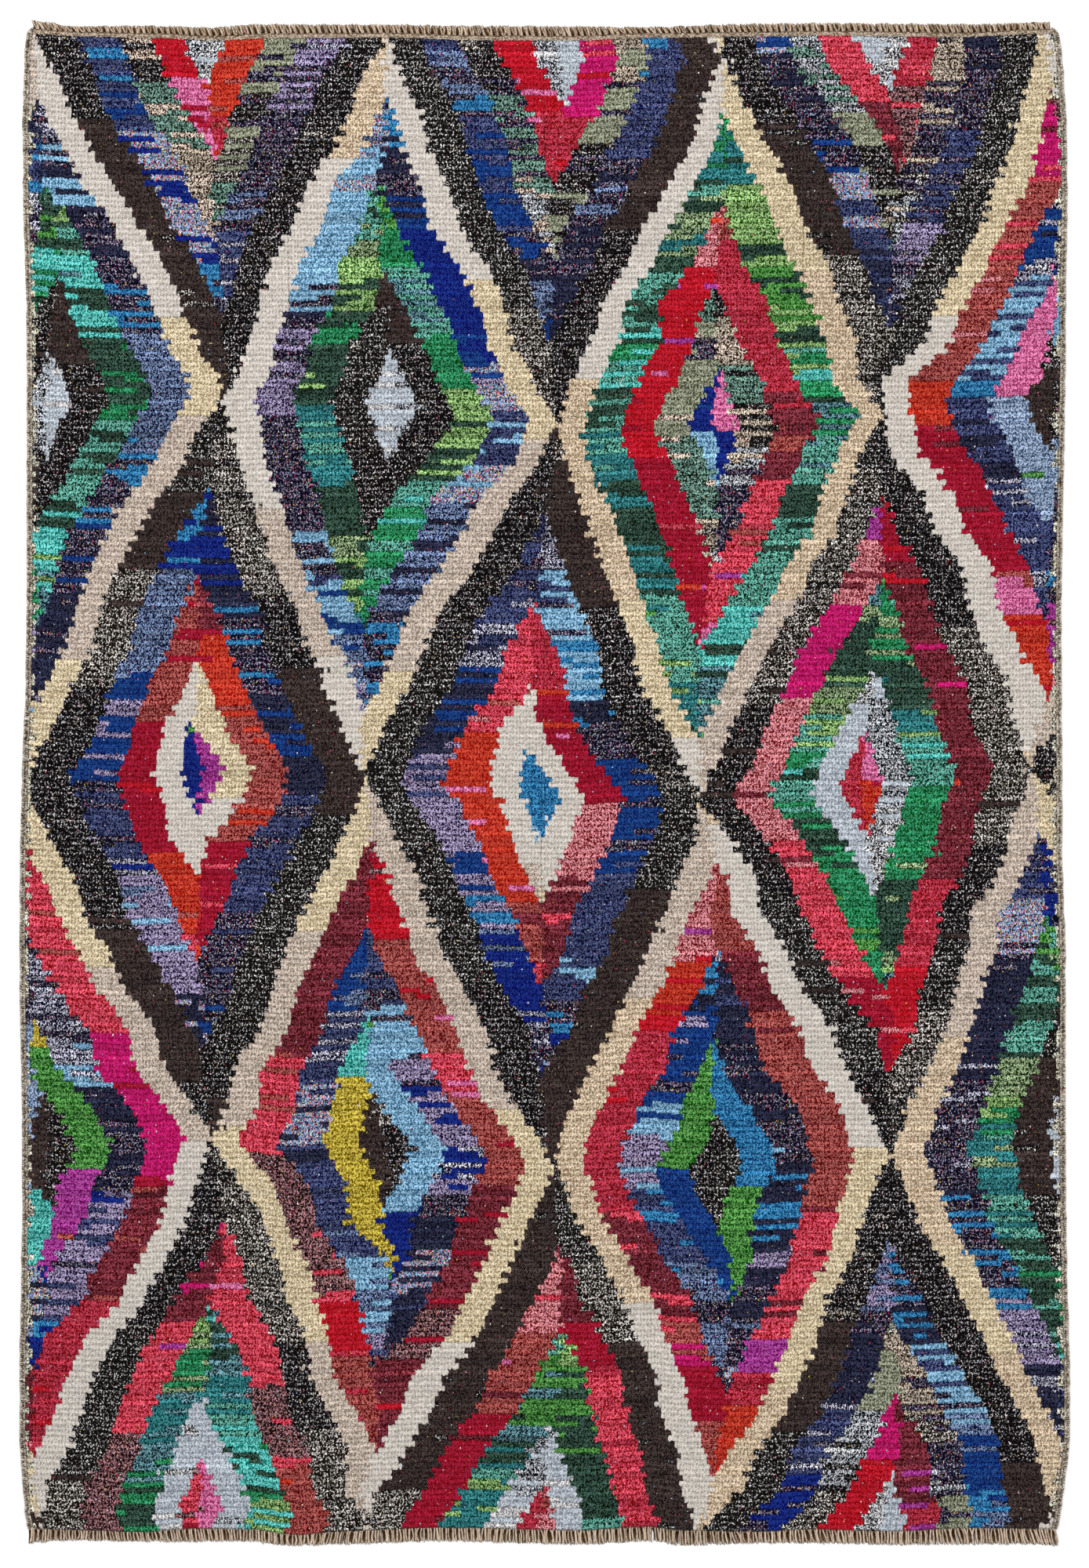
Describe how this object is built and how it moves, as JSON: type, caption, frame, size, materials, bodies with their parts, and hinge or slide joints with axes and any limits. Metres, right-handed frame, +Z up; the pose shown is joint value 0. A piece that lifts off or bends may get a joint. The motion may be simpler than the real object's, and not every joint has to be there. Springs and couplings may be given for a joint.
{
  "type": "hand-knotted pile rug",
  "caption": "Rectangular hand-knotted wool rug lying flat, with a bold coloured pile pattern, overcast sides and a short warp fringe along both ends.",
  "frame": {"origin": "on the floor, under the middle of the rug's overall box", "axes": "+Z up out of the pile, +Y along the rug towards the end with the wider twined strip, +X across the rug"},
  "size_m": [1.9993, 2.9076, 0.0127],
  "materials": {
    "pile_wool": "clipped wool pile in many dyed and heathered colours, soft and matt",
    "edging_wool": "undyed taupe wool wrapped closely over edge cords, matt",
    "warp_wool": "undyed two-ply wool warp, twined and cut, slightly frayed, matt"
  },
  "bodies": {
    "root": {"pile_cloth": "pile_wool", "edge_left": "edging_wool", "edge_right": "edging_wool", "end_near": "warp_wool", "end_far": "warp_wool"}
  },
  "joints": []
}
